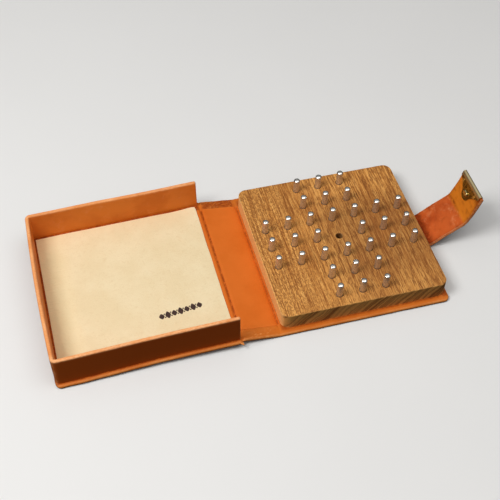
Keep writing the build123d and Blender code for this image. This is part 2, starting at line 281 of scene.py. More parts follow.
# ---------------- materials
class Look:
    """A node material built from small calls. Every call returns an output socket."""

    def __init__(self, name):
        self.material = bpy.data.materials.new(name)
        self.material.use_nodes = True
        self.tree = self.material.node_tree
        self.shader = self.tree.nodes["Principled BSDF"]

    def feed(self, socket, value):
        if isinstance(value, bpy.types.NodeSocket):
            self.tree.links.new(value, socket)
        elif isinstance(value, (tuple, list)) and socket.type == "RGBA":
            socket.default_value = (*value, 1.0)[:4]
        else:
            socket.default_value = value

    def node(self, kind, inputs=None, **settings):
        """A new node with its settings made and then its inputs fed."""
        made = self.tree.nodes.new(kind)
        for key, value in settings.items():
            setattr(made, key, value)
        for key, value in (inputs or {}).items():
            self.feed(made.inputs[key], value)
        return made

    def set(self, **inputs):
        for key, value in inputs.items():
            self.feed(self.shader.inputs[key.replace("_", " ")], value)

    def flat(self):
        """Flat-drawn position in millimetres, kept on the mesh."""
        return self.node("ShaderNodeAttribute", attribute_name="flat").outputs["Vector"]

    def own(self):
        """Object position in millimetres, for a piece without the flat attribute."""
        at = self.node("ShaderNodeTexCoord").outputs["Object"]
        return self.scaled(at, (1000, 1000, 1000))

    def attribute(self, name):
        return self.node("ShaderNodeAttribute", attribute_name=name).outputs["Fac"]

    def vectors(self, operation, a, b):
        return self.node("ShaderNodeVectorMath", {0: a, 1: b}, operation=operation).outputs[0]

    def scaled(self, vector, by):
        return self.vectors("MULTIPLY", vector, by)

    def moved(self, vector, by):
        return self.vectors("ADD", vector, by)

    def split(self, vector):
        return self.node("ShaderNodeSeparateXYZ", {0: vector}).outputs

    def join(self, x, y, z):
        return self.node("ShaderNodeCombineXYZ", {0: x, 1: y, 2: z}).outputs[0]

    def math(self, operation, a, b=0.0):
        return self.node("ShaderNodeMath", {0: a, 1: b}, operation=operation).outputs[0]

    def plus(self, a, b):
        return self.math("ADD", a, b)

    def times(self, a, b):
        return self.math("MULTIPLY", a, b)

    def size(self, a):
        return self.math("ABSOLUTE", a)

    def noise(self, vector, scale=1.0, detail=3.0, rough=0.5, twist=0.0):
        inputs = {"Vector": vector, "Scale": scale, "Detail": detail, "Roughness": rough,
                  "Distortion": twist}
        return self.node("ShaderNodeTexNoise", inputs).outputs["Fac"]

    def cells(self, vector, scale):
        inputs = {"Vector": vector, "Scale": scale}
        return self.node("ShaderNodeTexVoronoi", inputs, feature="SMOOTH_F1").outputs["Distance"]

    def part(self, value, low, high, to_low=0.0, to_high=1.0, smooth=True):
        """Maps low..high onto to_low..to_high, held at both ends."""
        kind = "SMOOTHSTEP" if smooth else "LINEAR"
        inputs = {"Value": value, "From Min": low, "From Max": high, "To Min": to_low, "To Max": to_high}
        return self.node("ShaderNodeMapRange", inputs, interpolation_type=kind).outputs["Result"]

    def mix(self, share, a, b, kind="RGBA"):
        """a where share is 0, b where it is 1."""
        made = self.node("ShaderNodeMix", data_type="RGBA" if kind == "RGBA" else "FLOAT")
        self.feed(made.inputs["Factor"], share)
        sockets = [s for s in made.inputs if s.type == kind and s.name != "Factor"]
        self.feed(sockets[0], a)
        self.feed(sockets[1], b)
        return [s for s in made.outputs if s.type == kind][0]

    def raised(self, height, depth, strength=1.0, under=None):
        """A bump from a height in 0..1 times depth, in millimetres."""
        inputs = {"Strength": strength, "Distance": depth * MM, "Height": height}
        if under is not None:
            inputs["Normal"] = under
        return self.node("ShaderNodeBump", inputs).outputs["Normal"]


def leather(name, colour, dark, light, grain=0.05, rough=0.46, flat=True, mottle=0.35,
            shade=None, stain_and_shade=None):
    """Waxed vegetable-tanned leather: two tones, pores, fine creases, paler worn edges.
    shade and stain are colours for the mesh's attributes of those names; the first paints light and shade,
    the second real stains mixed with painted shade."""
    look = Look(name)
    at = look.flat() if flat else look.own()
    cloud = look.noise(at, 0.045, 4, 0.6)
    patch = look.noise(look.moved(at, (31, 7, 3)), 0.16, 5, 0.62, 0.4)
    tone = look.mix(look.part(cloud, 0.30, 0.58), dark, colour)
    tone = look.mix(look.times(look.part(patch, 0.52, 0.78), mottle), tone, light)
    # a painted tone for light and shade: darker on the tray's outer faces, paler on the strap past its
    # fold
    if shade:
        tone = look.mix(look.attribute("shade"), tone, shade)
    # real stains, mixed with painted shade in crevices and grooves and a painted shadow at the strap's
    # root
    if stain_and_shade:
        blot = look.part(look.noise(look.moved(at, (5, 1, 8)), 0.42, 5, 0.7, 0.6), 0.34, 0.56, 0.25, 1.0)
        tone = look.mix(look.times(look.attribute("stain_and_shade"), blot), tone, stain_and_shade)
    speck = look.noise(look.moved(at, (3, 17, 1)), 1.7, 4, 0.7)
    tone = look.mix(look.times(look.part(speck, 0.54, 0.76), 0.35 * mottle), tone, dark)
    scuff = look.noise(look.scaled(at, (0.5, 1.6, 1.0)), 0.9, 5, 0.7)
    if flat:
        worn = look.attribute("wear")
        edge = look.times(worn, look.part(scuff, 0.30, 0.62, 0.35, 1.0))
        tone = look.mix(edge, tone, light)
    pores = look.cells(at, 2.3)
    creases = look.noise(look.scaled(at, (1.0, 0.55, 1.0)), 0.55, 6, 0.72, 0.8)
    shine = look.part(creases, 0.35, 0.7, rough - 0.07, rough + 0.10, smooth=False)
    first = look.raised(creases, 0.12, grain * 6)
    look.set(Base_Color=tone, Roughness=shine, Normal=look.raised(pores, 0.05, grain * 8, first))
    look.set(Specular_IOR_Level=0.14)
    return look.material


def wood(name):
    """Oiled open-pored hardwood, grain along Y, browner on its end faces, with a paler painted light on
    its side faces and grime with painted shadow round the holes.
    """
    look = Look(name)
    at = look.own()
    x, y, z = look.split(at)
    # year rings lean through the thickness, so they show as slanting bands on the end faces
    lean = look.math("SUBTRACT", x, look.times(z, 0.85))
    sway = look.noise(look.scaled(at, (1.0, 0.22, 1.0)), 0.06, 3, 0.5)
    across = look.plus(lean, look.times(sway, 9.0))
    bands = look.noise(look.join(across, look.times(y, 0.02), 0.0), 0.45, 4, 0.7)
    wide = look.noise(look.join(across, look.times(y, 0.06), 4.0), 0.085, 3, 0.5)
    near = look.part(y, -20.0, -48.0)
    tone = look.mix(look.part(wide, 0.36, 0.64), (0.76, 0.345, 0.082), (0.59, 0.240, 0.049))
    tone = look.mix(look.part(bands, 0.45, 0.70, 0.0, 0.55), tone, (0.33, 0.115, 0.022))
    tone = look.mix(look.times(near, 0.45), tone, (0.88, 0.410, 0.098))
    # long fibres run the whole length of the board, dark and pale side by side
    run = look.scaled(look.join(look.plus(x, sway), y, z), (1.35, 0.040, 1.35))
    fibre = look.noise(run, 1.0, 5, 0.8)
    tone = look.mix(look.part(fibre, 0.51, 0.61, 0.0, 0.75), tone, (0.96, 0.50, 0.140))
    tone = look.mix(look.part(fibre, 0.49, 0.40, 0.0, 0.80), tone, (0.23, 0.066, 0.010))
    # open pores: short dark dashes along the grain, crowded and wavy towards the left
    left = look.part(x, -36.0, -12.0, 1.0, 0.0)
    bend = look.plus(x, look.times(y, 0.14))
    wavy = look.noise(look.scaled(look.join(bend, y, z), (1.6, 0.48, 0.6)), 1.0, 2, 0.55, 0.7)
    thick = look.part(wavy, 0.505, 0.545, 0.0, 0.88)
    dashes = look.noise(look.scaled(at, (1.6, 0.22, 1.0)), 1.0, 2, 0.6, 0.15)
    gate = look.part(look.noise(look.scaled(at, (0.25, 0.06, 0.3)), 1.0, 3, 0.6), 0.34, 0.60, 0.45, 1.0)
    thin = look.times(look.part(dashes, 0.525, 0.575), gate)
    pores = look.mix(left, thin, thick, "VALUE")
    tone = look.mix(look.times(pores, 0.70), tone, (0.20, 0.060, 0.011))
    # a few deep dark cracks along the grain, mostly between the middle rows
    cracks = look.noise(look.scaled(at, (0.9, 0.035, 0.9)), 1.0, 3, 0.85)
    deep = look.times(look.part(cracks, 0.62, 0.67), look.part(look.size(x), 38.0, 18.0))
    tone = look.mix(look.times(deep, 0.85), tone, (0.11, 0.034, 0.007))
    # the right part has darkened, except along the board's far and near edges
    right = look.times(look.part(x, -22.0, 6.0), look.part(y, 40.0, 18.0))
    right = look.times(right, look.part(y, -46.0, -30.0, 0.5, 1.0))
    tone = look.mix(look.times(right, 0.42), tone, (0.16, 0.048, 0.010))
    patch = look.noise(look.moved(look.scaled(at, (1.0, 0.6, 1.0)), (11, 5, 0)), 0.05, 3, 0.5)
    tone = look.mix(look.part(patch, 0.50, 0.68, 0.0, 0.30), tone, (0.35, 0.115, 0.022))
    # end grain drinks more oil; the faces towards ±x get a paler painted light
    facing = look.split(look.node("ShaderNodeNewGeometry").outputs["Normal"])
    side = look.part(look.size(facing[0]), 0.45, 0.8)
    tone = look.mix(look.times(side, 0.85), tone, (1.0, 0.60, 0.22))
    end = look.part(look.size(facing[1]), 0.45, 0.8)
    end_tone = look.mix(look.part(bands, 0.40, 0.66), (0.72, 0.365, 0.098), (0.25, 0.096, 0.022))
    tone = look.mix(look.times(end, 0.95), tone, end_tone)

    # grime and painted contact shadow in and round each hole of the cross
    def to_nearest(value):
        steps = look.math("ROUND", look.math("DIVIDE", value, PITCH))
        return look.math("SUBTRACT", value, look.times(steps, PITCH))

    gx, gy = to_nearest(x), to_nearest(y)
    apart = look.math("SQRT", look.plus(look.times(gx, gx), look.times(gy, gy)))
    arm = look.math("MINIMUM", look.size(x), look.size(y))
    ring = look.times(look.part(apart, 2.1, 2.75, 1.0, 0.0), look.math("LESS_THAN", arm, 1.5 * PITCH))
    tone = look.mix(look.times(ring, 0.8), tone, (0.12, 0.038, 0.009))
    depth = look.plus(look.times(pores, 0.8), look.times(bands, 0.3))
    height = look.math("SUBTRACT", 1.0, depth)
    look.set(Base_Color=tone, Normal=look.raised(height, 0.22, 0.6))
    look.set(Roughness=look.part(bands, 0.3, 0.7, 0.46, 0.62, smooth=False), Specular_IOR_Level=0.22)
    return look.material


def card_paper(name):
    """Mottled cream card with faint fibres, fine creases and handling marks."""
    look = Look(name)
    at = look.flat()
    cloud = look.noise(at, 0.05, 4, 0.6)
    fleck = look.noise(look.moved(at, (9, 2, 5)), 0.42, 6, 0.75, 1.2)
    tone = look.mix(look.part(cloud, 0.36, 0.66), (0.830, 0.668, 0.405), (0.865, 0.712, 0.450))
    tone = look.mix(look.part(fleck, 0.48, 0.70, 0.0, 0.55), tone, (0.76, 0.575, 0.315))
    thread = look.noise(look.scaled(at, (0.5, 1.3, 1.0)), 1.1, 6, 0.75, 2.0)
    tone = look.mix(look.part(thread, 0.56, 0.74, 0.0, 0.45), tone, (0.98, 0.83, 0.57))
    x = look.split(at)[0]
    # rippled beside the left wall, and brightened there with painted light against the left wall's shadow
    edge = look.part(x, card_low[0], card_low[0] + 22, 1.0, 0.0)
    tone = look.mix(look.times(edge, 0.75), tone, (0.95, 0.77, 0.42))
    crease = look.noise(look.scaled(at, (0.08, 0.42, 1.0)), 1.0, 4, 0.65, 1.4)
    height = look.plus(fleck, look.times(crease, look.part(edge, 0.0, 1.0, 0.8, 4.0)))
    look.set(Base_Color=tone, Roughness=0.72, Specular_IOR_Level=0.18)
    look.set(Normal=look.raised(height, 0.22, 0.6))
    return look.material


def steel(name):
    """Turned steel pegs, brushed round the shaft and brighter on the worn dome."""
    look = Look(name)
    at = look.flat()
    z = look.split(at)[2]
    rings = look.noise(look.join(0.0, 0.0, look.times(z, 3.2)), 1.0, 4, 0.8)
    spots = look.noise(at, 0.9, 4, 0.6)
    tone = look.mix(look.part(spots, 0.42, 0.68), (0.84, 0.78, 0.68), (0.66, 0.60, 0.51))
    dome = look.attribute("wear")
    tone = look.mix(dome, tone, (0.98, 0.94, 0.87))
    rough = look.part(rings, 0.3, 0.7, 0.48, 0.58, smooth=False)
    less = look.times(dome, -0.36)
    look.set(Base_Color=tone, Metallic=1.0, Roughness=look.plus(rough, less))
    look.set(Normal=look.raised(rings, 0.02, 0.35))
    return look.material


def brass(name, tarnish=0.4, bright=(0.92, 0.74, 0.36), dull=(0.42, 0.29, 0.09), folded=False):
    """Brass with tarnish gathered in clouds and fine rub marks. A folded plate is dark on
    its leaf, with tarnish and a painted dark reflection, and rubbed bright along its folded edge."""
    look = Look(name)
    at = look.own()
    cloud = look.noise(at, 0.55, 5, 0.7)
    rub = look.noise(look.scaled(at, (0.4, 3.5, 0.4)), 1.4, 4, 0.7)
    cover = look.part(cloud, 0.40, 0.62, 0.0, tarnish)
    rough = look.part(rub, 0.3, 0.7, 0.14, 0.30, smooth=False)
    if folded:
        up = look.split(look.node("ShaderNodeTexCoord").outputs["Generated"])[2]
        edge = look.part(up, 0.78, 0.86)
        cover = look.times(cover, look.math("SUBTRACT", 1.0, edge))
        rough = look.plus(rough, look.times(edge, 0.16))
        bright = look.mix(edge, (0.46, 0.35, 0.12), bright)
    tone = look.mix(cover, bright, dull)
    look.set(Base_Color=tone, Metallic=1.0, Roughness=rough, Normal=look.raised(rub, 0.03, 0.4))
    return look.material


def cardboard(name):
    """Grey-brown binding board, with the fibres of its cut edge."""
    look = Look(name)
    at = look.own()
    fibre = look.noise(look.scaled(at, (0.3, 0.3, 6.0)), 1.2, 5, 0.7)
    tone = look.mix(look.part(fibre, 0.38, 0.64), (0.47, 0.41, 0.33), (0.33, 0.28, 0.21))
    look.set(Base_Color=tone, Roughness=0.86, Normal=look.raised(fibre, 0.1, 0.6))
    return look.material


def ink(name):
    """Dark brown printing ink, worn thin in places."""
    look = Look(name)
    at = look.flat()
    worn = look.noise(at, 1.3, 4, 0.7)
    tone = look.mix(look.part(worn, 0.45, 0.75), (0.035, 0.012, 0.008), (0.10, 0.045, 0.022))
    look.set(Base_Color=tone, Roughness=look.part(worn, 0.3, 0.7, 0.45, 0.62, smooth=False))
    look.set(Normal=look.raised(worn, 0.03, 0.4))
    return look.material


# the cover's stain colour serves real stains at the spine's ends and painted shade beside the board and
# under the tray
cover_look = leather("case_leather", (0.64, 0.162, 0.018), (0.56, 0.128, 0.012), (0.95, 0.40, 0.12),
                     mottle=0.2, stain_and_shade=(0.27, 0.038, 0.003))
# the tray leather's shade colour is painted shade for the walls' outer faces
wall_look = leather("tray_leather", (0.78, 0.215, 0.026), (0.68, 0.165, 0.016), (1.00, 0.52, 0.24),
                    mottle=0.12, shade=(0.40, 0.075, 0.007))
# the lining's stain colour is painted shade in the joint grooves
lining_look = leather("lining_leather", (0.71, 0.160, 0.018), (0.66, 0.142, 0.013), (0.79, 0.20, 0.028),
                      grain=0.03, mottle=0.25, stain_and_shade=(0.22, 0.030, 0.003))
strap_look = leather("strap_leather", (0.50, 0.110, 0.014), (0.34, 0.060, 0.007), (0.92, 0.42, 0.18),
                     grain=0.07)
# the strap lining's shade colour is a paler painted light past the fold; its stain colour is real stains
# with painted shadow at the root and in the fold
strap_lining_look = leather("strap_lining", (0.60, 0.112, 0.020), (0.42, 0.062, 0.009), (0.95, 0.42, 0.17),
                            grain=0.08, rough=0.34, mottle=0.35, shade=(0.80, 0.235, 0.018),
                            stain_and_shade=(0.24, 0.034, 0.004))
plain_leather = leather("inner_leather", (0.60, 0.16, 0.02), (0.46, 0.10, 0.012), (0.8, 0.3, 0.08),
                        flat=False)
wood_look = wood("board_wood")
card_look = card_paper("cream_card")
steel_look = steel("peg_steel")
brass_look = brass("clasp_brass")
# the leaf's heavy dark tarnish colour is partly tarnish and partly a painted dark reflection
plate_look = brass("clasp_plate_brass", 0.85, (0.95, 0.77, 0.42), (0.13, 0.090, 0.026), folded=True)
board_look = cardboard("core_board")
ink_look = ink("ornament_ink")


# ---------------- cover leather
EDGE_R = 1.15  # rounded edges of the panels
CORNER_R = 3.5  # rounded corners of the panels
EDGE_STEPS = [0.0, 0.06, 0.2, 0.42, 0.8, 1.15, 1.6, 2.2, 2.85, 3.5, 4.6, 5.8, 7.0, 9.0]
TURN_IN = 7.0
SPLAY = 1.9  # how far the lid's near edge and wall lean out at their left end
PANEL_GAP = 0.75  # from a hinge line to the panel beside the spine
PANEL_BOARD_GAP = 1.55  # from a hinge line to that panel's board
SPINE_BOARD_GAP = 1.8  # from a hinge line to the spine's board
UNDER_GROOVE = (0.35, 1.2)  # depth and width of a joint groove in the outside
TOP_GROOVE = (0.95, 0.8)  # and in the inside
CORE_Y = BASE_HALF_Y - COVER_T


def side_growth(x, y):
    """How much further out than the base's the long edges of spine and lid lie."""
    on_lid = ease(-x, -LID_FLAT_X - 0.6, -LID_FLAT_X + 1.6)
    grown = (LID_HALF_Y - BASE_HALF_Y) * on_lid
    if y < 0:
        grown += SPLAY * ease(-x, 120, 190)
    return grown


def outline(u, v):
    """Plan position of a cover grid point, and its distance in from the outline."""
    x, a, side = u, abs(v), math.copysign(1.0, v)
    end = BASE_RIGHT if u > SPINE_MID else LID_LEFT
    toward = 1.0 if u > SPINE_MID else -1.0
    in_x = (end - u) * toward
    in_y = BASE_HALF_Y - a
    d = min(in_x, in_y)
    if in_x < CORNER_R and in_y < CORNER_R:
        p, q = 1 - in_x / CORNER_R, 1 - in_y / CORNER_R
        px, py = p * math.sqrt(1 - q * q / 2), q * math.sqrt(1 - p * p / 2)
        x = end - toward * CORNER_R * (1 - px)
        a = BASE_HALF_Y - CORNER_R * (1 - py)
        d = CORNER_R * (1 - math.hypot(px, py))
    grow = side_growth(x, v) * ease(a, 50.0, BASE_HALF_Y)
    wave = 0.16 * wander(x / 9.0, side * 3) * ease(a, 52.0, BASE_HALF_Y)
    return x, side * (a + grow + wave), max(0.0, d)


def groove(x, y, depth, width):
    """The joint grooves between the panels. The one beside the board is shallow and ends early."""
    beside_board = 0.5 * bump(x, HINGE_X + 0.6, width) * (1 - 0.8 * ease(abs(y), 49.0, 53.0))
    return depth * (beside_board + bump(x, LID_FLAT_X, width))


def spine_end(x, v):
    """1 on the turned-in leather at the spine's two ends."""
    past_lid = ease(x, LID_FLAT_X + 0.6, LID_FLAT_X + 2.5)
    past_base = ease(x, HINGE_X - 2.0, HINGE_X - 0.4)
    return past_lid * (1 - past_base) * ease(abs(v), 49.5, 51.5)


SLOT_X = (strike_low[0] + strike_high[0]) / 2
SLOT_HALF = (2.06, 3.06)  # half the size of the catch's slot in the leather


def under_strike(u, v):
    """Whether a point of the flat lid lies in the strike plate's recess."""
    return strike_low[0] - 0.01 < u < strike_high[0] + 0.01 and abs(v) < strike_high[1] + 0.01


def in_slot(u, v):
    """Whether a point of the flat lid lies in the catch's slot."""
    return abs(u - SLOT_X) < SLOT_HALF[0] and abs(v) < SLOT_HALF[1]


def cover_surface(u, v, k):
    x, y, d = outline(u, v)
    low = drop(d, EDGE_R) + groove(x, v, *UNDER_GROOVE)
    if under_strike(u, v):
        low = strike_high[2] + 0.01
    high = PANEL_T - drop(d, EDGE_R) - groove(x, v, *TOP_GROOVE)
    ruck = spine_end(x, v)
    high += ruck * (0.16 * wander(x / 1.7, y / 4.5, 2) + 0.12 * wander(x / 5.0, y / 1.5, 7))
    high += 0.05 * wander(x / 6.0, y / 6.0, 11) * ease(d, 0.0, 1.2)
    if k == 0:
        return x, y, low
    if k == 3:
        return x, y, high
    return x, y, clamp(COVER_T if k == 1 else CORE_TOP, low, high)


def cover_wear(u, v, p, k):
    x, y, d = outline(u, v)
    rim = 1 - ease(d, 0.1, 1.5)
    rub = 0.75 * rim * clamp(0.55 + 0.6 * wander(x / 14.0, y / 14.0, 21))
    return clamp(rub + 0.75 * spine_end(x, v) * clamp(2.6 * wander(x / 0.8, y / 0.6, 4) - 0.8))


def cover_stain_and_shade(u, v, p, k):
    """Dark stains at the spine's ends, and painted shade beside the board and in the crevice under the
    tray.
    """
    if k < 2:
        return 0.0
    x, y = p[0], abs(p[1])
    ends = spine_end(x, v) * (0.85 if v > 0 else 0.12)
    splay = SPLAY * ease(-x, 118.0, 190.0) * (v < 0)
    # painted shade in the crevice at the foot of the tray walls
    crevice = 0.9 * (1 - ease(y - far_high[1] - splay, 0.1, 1.2))
    crevice *= 1 - ease(x, far_high[0] - 0.5, far_high[0] + 0.5)
    # painted contact shadow on the ledge at the foot of the board
    beside_board = 0.7 * (1 - ease(y - board_high[1], 0.2, 2.2)) * ease(x, HINGE_X + 1.0, HINGE_X + 3.0)
    return max(ends, crevice, beside_board)


cover_marks = {"wear": cover_wear, "stain_and_shade": cover_stain_and_shade}


def base_solid(u, v, k):
    """Leather of the base panel and half the spine, hollow where its boards and lining lie."""
    on_base = u > HINGE_X + PANEL_BOARD_GAP
    in_core = abs(v) < CORE_Y and (u < BASE_RIGHT - COVER_T if on_base else u < HINGE_X - SPINE_BOARD_GAP)
    if k == 1:
        return not in_core
    if k == 2 and on_base:
        inside_x = HINGE_X + PANEL_GAP + TURN_IN < u < BASE_RIGHT - TURN_IN
        return not (inside_x and abs(v) < BASE_HALF_Y - TURN_IN)
    return True


def lid_solid(u, v, k):
    """The same for the lid and the spine's other half."""
    on_lid = u < LID_FLAT_X - PANEL_BOARD_GAP
    in_core = abs(v) < CORE_Y and (u > LID_LEFT + COVER_T if on_lid else u > LID_FLAT_X + SPINE_BOARD_GAP)
    if k == 0:
        return not in_slot(u, v)
    if k == 1:
        return not in_core
    if k == 2 and on_lid:
        inside_x = LID_LEFT + TURN_IN < u < LID_FLAT_X - PANEL_GAP - TURN_IN
        return not (inside_x and abs(v) < BASE_HALF_Y - TURN_IN)
    return True


base_us = merged(
    spaced(SPINE_MID, HINGE_X - SPINE_BOARD_GAP, 1.1),
    spaced(HINGE_X - SPINE_BOARD_GAP, HINGE_X + PANEL_BOARD_GAP, 0.2),
    [HINGE_X + 2.4, HINGE_X + 4.5, HINGE_X + PANEL_GAP + TURN_IN],
    spaced(HINGE_X + PANEL_GAP + TURN_IN, BASE_RIGHT - 9.0, 4.5),
    [BASE_RIGHT - s for s in EDGE_STEPS],
)
lid_us = merged(
    spaced(SPINE_MID, LID_FLAT_X + SPINE_BOARD_GAP, 1.1),
    spaced(LID_FLAT_X + SPINE_BOARD_GAP, LID_FLAT_X - PANEL_BOARD_GAP, 0.2),
    [LID_FLAT_X - 2.4, LID_FLAT_X - 4.5, LID_FLAT_X - PANEL_GAP - TURN_IN],
    spaced(LID_FLAT_X - PANEL_GAP - TURN_IN, LID_LEFT + 9.0, 4.5),
    [LID_LEFT + s for s in EDGE_STEPS],
    [strike_low[0] - 0.04, strike_low[0], strike_high[0], strike_high[0] + 0.04],
    [SLOT_X - SLOT_HALF[0], SLOT_X + SLOT_HALF[0]],
)
base_vs = stations(-BASE_HALF_Y, BASE_HALF_Y, EDGE_STEPS, 5.0)
recess_vs = (strike_high[1] + 0.04, strike_high[1], SLOT_HALF[1])
lid_vs = merged(base_vs, recess_vs, [-v for v in recess_vs])
cover_base = layered("cover_base", base_us, base_vs, cover_surface, 4, base_solid,
                     laid, cover_look, cover_marks)
cover_lid = layered("cover_lid", lid_us, lid_vs, cover_surface, 4, lid_solid,
                    laid, cover_look, cover_marks)


def over_base_hinge(piece):
    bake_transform(piece)


def over_lid_hinge(piece):
    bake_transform(piece)


over_base_hinge(cover_base)
over_lid_hinge(cover_lid)
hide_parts("base_leather", "spine_leather")
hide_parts("lid_leather", "spine_leather")

# ---------------- lining over the joints
LINING_Y = 50.4  # half its length along the spine
LINING_T = 0.26
LINING_STEPS = [0.0, 0.04, 0.12, 0.4, 1.2, 2.5, 5.0]


def lining_surface(u, v, k):
    side = math.copysign(1.0, v)
    edge = LINING_Y - abs(v)
    uneven = 0.35 * wander(u / 3.5, side * 9) + 0.15 * wander(u / 1.1, side * 4)
    y = v + side * uneven * (1 - ease(edge, 0, 4))
    high = PANEL_T - groove(u, v, *TOP_GROOVE)
    if k == 0:
        return u, y, high - 0.04
    return u, y, high + LINING_T - drop(max(0.0, edge), 0.12) * 1.5


def lining_wear(u, v, p, k):
    return 0.5 * (1 - ease(LINING_Y - abs(v), 0.0, 0.9))


def lining_groove_shade(u, v, p, k):
    """Painted shade along the bottom of both joint grooves."""
    return 0.9 * bump(p[0], LID_FLAT_X + 0.2, 0.5) + 0.7 * bump(p[0], HINGE_X + 0.9, 0.5)


lining_marks = {"wear": lining_wear, "stain_and_shade": lining_groove_shade}
lining_vs = stations(-LINING_Y, LINING_Y, LINING_STEPS, 5.0)
lining_base_us = merged(spaced(SPINE_MID, HINGE_X - SPINE_BOARD_GAP, 1.5),
                        spaced(HINGE_X - SPINE_BOARD_GAP, board_low[0] - 0.15, 0.2))
lining_lid_us = merged(spaced(SPINE_MID, LID_FLAT_X + SPINE_BOARD_GAP, 1.5),
                       spaced(LID_FLAT_X + SPINE_BOARD_GAP, card_high[0] + 0.1, 0.2))
lining_base = layered("lining_base", lining_base_us, lining_vs, lining_surface, 2, None, laid,
                      lining_look, lining_marks)
lining_lid = layered("lining_lid", lining_lid_us, lining_vs, lining_surface, 2, None, laid,
                     lining_look, lining_marks)
over_base_hinge(lining_base)
over_lid_hinge(lining_lid)
for piece in (lining_base, lining_lid):
    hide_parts("spine_lining")

# ---------------- tray walls
WALL_T = near_high[1] - near_low[1]
SIDE_MID = -(near_low[1] + near_high[1]) / 2
LEFT_MID = (left_low[0] + left_high[0]) / 2
WALL_END = near_high[0]
WALL_FOOT = PANEL_T - 0.15
WALL_CORNER = 2.1  # how tightly the wall turns at the tray's two corners
WALL_SKIN = 0.6  # leather over the wall's board
RIM_R = 0.95  # rounded rim of the wall
NO_END = 99.0  # stands for a station far from the wall's free ends


def wall_path():
    """Stations (x, y, outward x, outward y, distance to the nearer free end) round the tray."""
    out = []
    end_steps = [0.0, 0.08, 0.25, 0.5, 0.9, 1.5, 3.0]
    corner_x = LEFT_MID + WALL_CORNER
    for s in merged(end_steps, spaced(5.0, WALL_END - corner_x, 4.0)):
        out.append((WALL_END - s, -SIDE_MID, 0.0, -1.0, s))
    for step in range(1, 9):
        turn = math.pi / 2 * step / 8
        cx, cy = corner_x, WALL_CORNER - SIDE_MID
        out.append((cx - WALL_CORNER * math.sin(turn), cy - WALL_CORNER * math.cos(turn),
                    -math.sin(turn), -math.cos(turn), NO_END))
    for y in spaced(WALL_CORNER - SIDE_MID, SIDE_MID - WALL_CORNER, 4.0)[1:]:
        out.append((LEFT_MID, y, -1.0, 0.0, NO_END))
    mirrored = [(x, -y, nx, -ny, d) for x, y, nx, ny, d in out if y < -SIDE_MID + WALL_CORNER - 1e-6]
    return out + mirrored[::-1]


def wall_sway(p):
    """The walls aren't quite straight: the left one bows out, and the near one splays at its left."""
    x, y, z = p
    h = clamp((z - PANEL_T) / (WALL_TOP - PANEL_T))
    on_left = ease(-x, 181.0, 189.0)
    length = clamp((y + SIDE_MID) / (2 * SIDE_MID))
    x -= 1.15 * on_left * math.sin(math.pi * length) * (0.35 + 0.65 * h)
    near = ease(-y, -50.0, 56.0)
    y -= near * ease(-x, 118.0, 190.0) * (SPLAY - 0.9 * h)
    z += 0.7 * h * ease(y, 40.0, 54.0) * ease(x, -112.0, -84.0)
    x += 0.15 * h * ease(-y, 40.0, 54.0) * ease(x, -96.0, -84.0)
    far = ease(y, 40.0, 56.0)
    y += far * 0.35 * bump(x, -138.0, 34.0) * h
    z += 0.18 * h * wander(x / 22.0, y / 22.0, 3)
    return x, y, z


def wall_ring(station, inset, foot):
    """One cross-section of the tray wall, outer foot to inner foot. Without an inset it is the
    leather's outside, which is rounded at the wall's free ends."""
    x, y, nx, ny, d = station
    half = WALL_T / 2 - inset - (0.0 if inset else drop(d, 0.7))
    top = WALL_TOP - inset - (0.0 if inset else drop(d, 1.0))
    r = min(0.25 if inset else RIM_R, half * 0.98)
    rise = top - 4.0 - (foot + 4.5)
    heights = [foot, foot + 0.6, foot + 2.0] + [foot + 4.5 + rise * i / 4 for i in range(5)] + [top - 2.0]
    side = [(half, z) for z in heights]
    arc = []
    for step in range(7):
        turn = math.pi / 2 * step / 6
        arc.append((half - r + r * math.cos(turn), top - r + r * math.sin(turn)))
    shape = side + arc
    shape = shape + [(-o, z) for o, z in reversed(shape)]
    return [(x + nx * o, y + ny * o, z) for o, z in shape]


def wall_rings(inset, foot):
    """Cross-sections along the whole wall, and their points in one list."""
    rings = [wall_ring(s, inset, foot) for s in wall_path() if not inset or s[4] >= 0.5]
    return rings, [p for ring in rings for p in ring]


outer_rings, outer_flat = wall_rings(0.0, WALL_FOOT)
hollow_rings, hollow_flat = wall_rings(WALL_SKIN, PANEL_T + 0.02)
skin_flat = outer_flat + hollow_flat
skin_faces = swept(outer_rings) + swept(hollow_rings, True, len(outer_flat))


def wall_wear_and_highlight(p):
    x, y, z = p
    # the paler rim is partly worn edge and partly a painted highlight, strongest on the near wall
    rim = ease(z, WALL_TOP - 1.3, WALL_TOP - 0.35)
    rub = clamp((0.85 if y < -50 else 0.62) + 0.5 * wander(x / 9.0, y / 9.0, 31))
    corner = 0.7 * bump(x, left_low[0], 1.2) * ease(abs(y), SIDE_MID - 2.0, SIDE_MID)
    end = 0.6 * bump(x, WALL_END, 0.5)
    return clamp(rim * rub + corner * clamp(0.4 + wander(z / 3.0, 2)) + end * 0.6)


def wall_shade(p):
    """1 on the tray's outer faces, which get a darker painted shade."""
    x, y, z = p
    out_y = ease(abs(y), SIDE_MID - 0.1, SIDE_MID + 0.6)
    out_x = ease(-x, -LEFT_MID - 0.1, -LEFT_MID + 0.6)
    return max(out_y, out_x) * (1 - ease(z, WALL_TOP - 1.0, WALL_TOP - 0.2))


tray_walls = new_piece("tray_walls", [in_lid(wall_sway(p)) for p in skin_flat], skin_faces, wall_look,
                       {"flat": skin_flat, "wear": [wall_wear_and_highlight(p) for p in skin_flat],
                        "shade": [wall_shade(p) for p in skin_flat]}, 50)
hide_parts("far_wall_leather", "near_wall_leather", "left_wall_leather")
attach(tray_walls, "lid")

